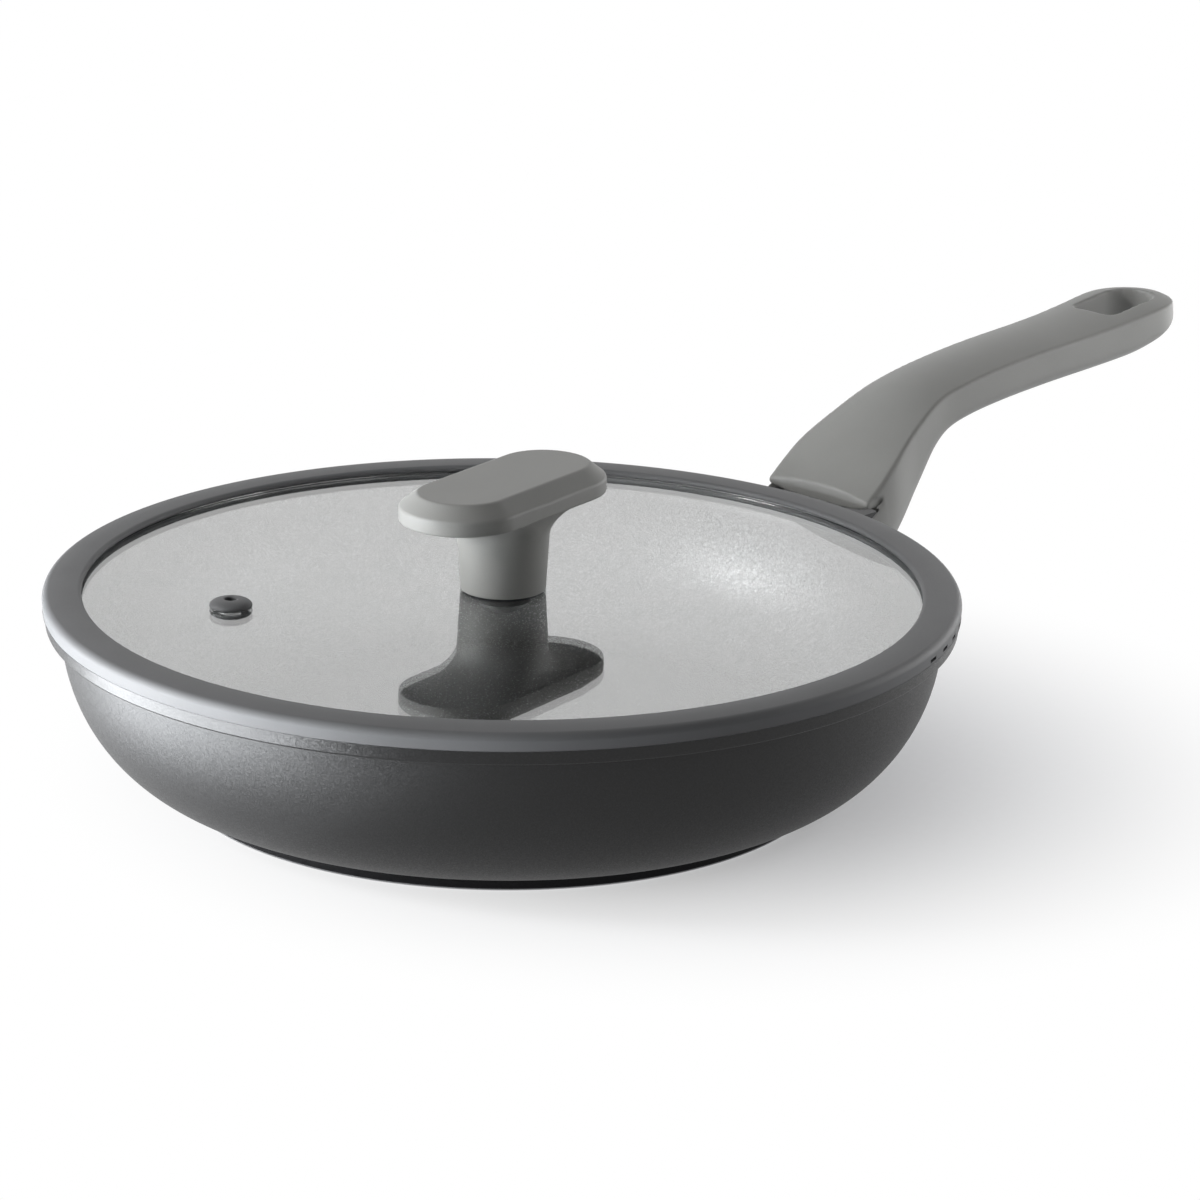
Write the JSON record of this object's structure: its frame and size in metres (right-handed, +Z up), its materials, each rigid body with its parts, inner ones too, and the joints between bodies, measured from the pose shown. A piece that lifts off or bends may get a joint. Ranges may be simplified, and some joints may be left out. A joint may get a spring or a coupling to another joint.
{
  "type": "frying pan with lid",
  "caption": "Shallow cast frying pan with curved walls, a raised soft-touch handle with a hanging hole, and a flat glass lid with a silicone rim, steam vent and long knob.",
  "frame": {"origin": "centre of the round base, on the surface that the pan stands on", "axes": "+Z up along the pan's axis, +X along the handle"},
  "size_m": [0.4815, 0.2964, 0.1095],
  "materials": {
    "pan_coating": "dark anthracite non-stick coating with a fine metallic speckle, satin",
    "base_plate": "black edge, faced below with a thin magnetic steel sheet",
    "bracket_coating": "black coated, matt",
    "soft_touch_grey": "soft-touch warm grey, matt",
    "silicone": "mid grey silicone, satin",
    "dark_silicone": "dark grey silicone, satin",
    "glass": "clear tempered glass, polished",
    "steel": "zinc-plated steel, satin",
    "brass": "plain brass"
  },
  "bodies": {
    "pan": {"pan_body": "pan_coating", "induction_base": "base_plate", "handle_bracket": "bracket_coating", "handle": "soft_touch_grey", "handle_screw": "steel", "handle_washer": "steel"},
    "lid": {"lid_glass": "glass", "lid_rim": "silicone", "vent_grommet": "dark_silicone", "knob": "soft_touch_grey", "knob_insert": "brass", "knob_gasket": "dark_silicone", "under_gasket": "dark_silicone", "under_washer": "steel", "knob_screw": "steel"}
  },
  "joints": [
    {"name": "lid_lift", "type": "slide", "parent": "pan", "child": "lid", "axis": [0, 0, 1], "range_m": [0, 0.15]}
  ]
}
